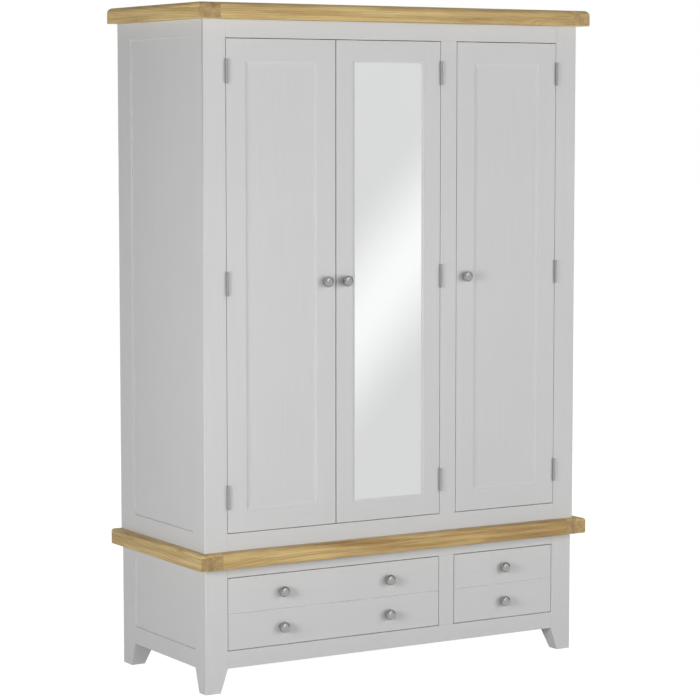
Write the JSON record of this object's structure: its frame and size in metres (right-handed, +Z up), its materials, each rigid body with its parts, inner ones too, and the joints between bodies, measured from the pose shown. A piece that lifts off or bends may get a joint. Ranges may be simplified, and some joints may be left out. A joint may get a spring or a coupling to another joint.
{
  "type": "wardrobe with doors",
  "caption": "Painted wardrobe in stacked cases with oak tops, inset framed doors including a mirror door, and wide and narrow drawers below.",
  "frame": {"origin": "middle of the footprint, on the floor under the feet", "axes": "+X to the right seen from the front, +Y from the doors to the back, +Z up; the doors and drawers face -Y"},
  "size_m": [1.33, 0.575, 1.95],
  "materials": {
    "painted_wood": "satin grey paint",
    "oak": "clear satin lacquer",
    "inner_board": "pale grey lacquer",
    "drawer_box": "clear matt lacquer",
    "nickel": "satin nickel plate",
    "chrome_rail": "polished chrome plate",
    "mirror": "silvered glass",
    "catch": "moulded off-white"
  },
  "bodies": {
    "cabinet": {"top_board": "oak", "top_end_boards": "oak", "front_posts": "painted_wood", "rear_stiles": "painted_wood", "upper_side_rails": "painted_wood", "upper_side_panels": "painted_wood", "face_top_rail": "painted_wood", "face_bottom_rail": "painted_wood", "mullion": "painted_wood", "partition": "inner_board", "floor_boards": "inner_board", "upper_back": "inner_board", "hanging_rails": "chrome_rail", "rail_sockets": "chrome_rail", "door_catches": "catch", "frame_hinges": "nickel", "hinge_pins": "nickel", "waist_board": "oak", "waist_end_boards": "oak", "front_legs": "painted_wood", "rear_legs": "painted_wood", "lower_top_rail": "painted_wood", "lower_bottom_rail": "painted_wood", "drawer_divider": "painted_wood", "lower_side_rails": "painted_wood", "lower_side_panels": "painted_wood", "lower_partition": "inner_board", "dust_board": "inner_board", "lower_back": "inner_board", "drawer_runners": "inner_board", "drawer_guides": "inner_board"},
    "left_door": {"left_door_stiles": "painted_wood", "left_door_rails": "painted_wood", "left_door_panel": "painted_wood", "left_door_knob": "nickel", "left_door_hinges": "nickel", "left_catch_plate": "nickel"},
    "mirror_door": {"mirror_door_stiles": "painted_wood", "mirror_door_rails": "painted_wood", "mirror_glass": "mirror", "mirror_backing": "inner_board", "mirror_door_knob": "nickel", "mirror_door_hinges": "nickel", "mirror_catch_plate": "nickel"},
    "right_door": {"right_door_stiles": "painted_wood", "right_door_rails": "painted_wood", "right_door_panel": "painted_wood", "right_door_knob": "nickel", "right_door_hinges": "nickel", "right_catch_plate": "nickel"},
    "left_drawer": {"left_drawer_front": "painted_wood", "left_drawer_sides": "drawer_box", "left_drawer_back": "drawer_box", "left_drawer_bottom": "drawer_box", "left_drawer_knobs": "nickel"},
    "right_drawer": {"right_drawer_front": "painted_wood", "right_drawer_sides": "drawer_box", "right_drawer_back": "drawer_box", "right_drawer_bottom": "drawer_box", "right_drawer_knobs": "nickel"}
  },
  "joints": [
    {"name": "left_door_hinge", "type": "hinge", "parent": "cabinet", "child": "left_door", "pos_m": [-0.564, -0.2606, 1.155], "axis": [0, 0, -1], "range_deg": [0, 110]},
    {"name": "mirror_door_hinge", "type": "hinge", "parent": "cabinet", "child": "mirror_door", "pos_m": [0.1505, -0.2606, 1.155], "axis": [0, 0, 1], "range_deg": [0, 110]},
    {"name": "right_door_hinge", "type": "hinge", "parent": "cabinet", "child": "right_door", "pos_m": [0.564, -0.2606, 1.155], "axis": [0, 0, 1], "range_deg": [0, 110]},
    {"name": "left_drawer_slide", "type": "slide", "parent": "cabinet", "child": "left_drawer", "axis": [0, -1, 0], "range_m": [0, 0.4]},
    {"name": "right_drawer_slide", "type": "slide", "parent": "cabinet", "child": "right_drawer", "axis": [0, -1, 0], "range_m": [0, 0.4]}
  ]
}
